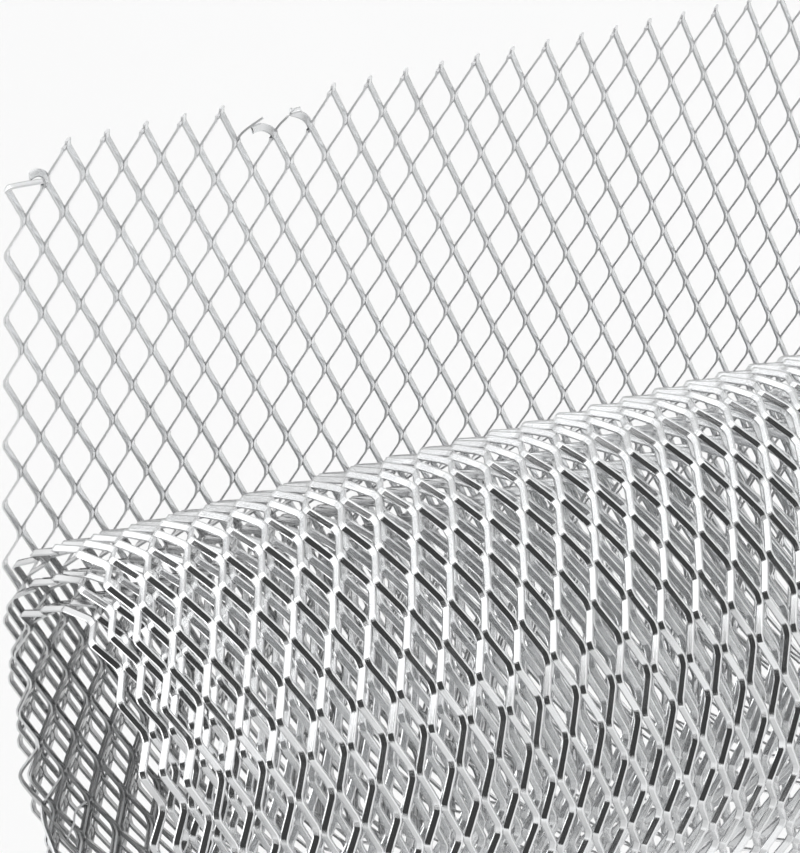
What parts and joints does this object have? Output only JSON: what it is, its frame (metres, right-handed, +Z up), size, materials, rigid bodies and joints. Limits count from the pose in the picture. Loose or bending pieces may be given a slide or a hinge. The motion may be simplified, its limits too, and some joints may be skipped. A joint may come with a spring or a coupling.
{
  "type": "car grille mesh sheet",
  "caption": "Sheet of expanded aluminium diamond mesh, loosely rolled with its outer end free as a flat flap, cut and bent to fill a car's grille or vent.",
  "frame": {"origin": "middle of the part's outline on the floor that it stands on", "axes": "+Z up along the roll, +X towards the flap's free edge, +Y to the flap's outer face"},
  "size_m": [0.1846, 0.1128, 0.3298],
  "materials": {
    "aluminium": "bright mill finish, slit edges sharp and shiny"
  },
  "bodies": {
    "root": {"mesh_sheet": "aluminium"}
  },
  "joints": []
}
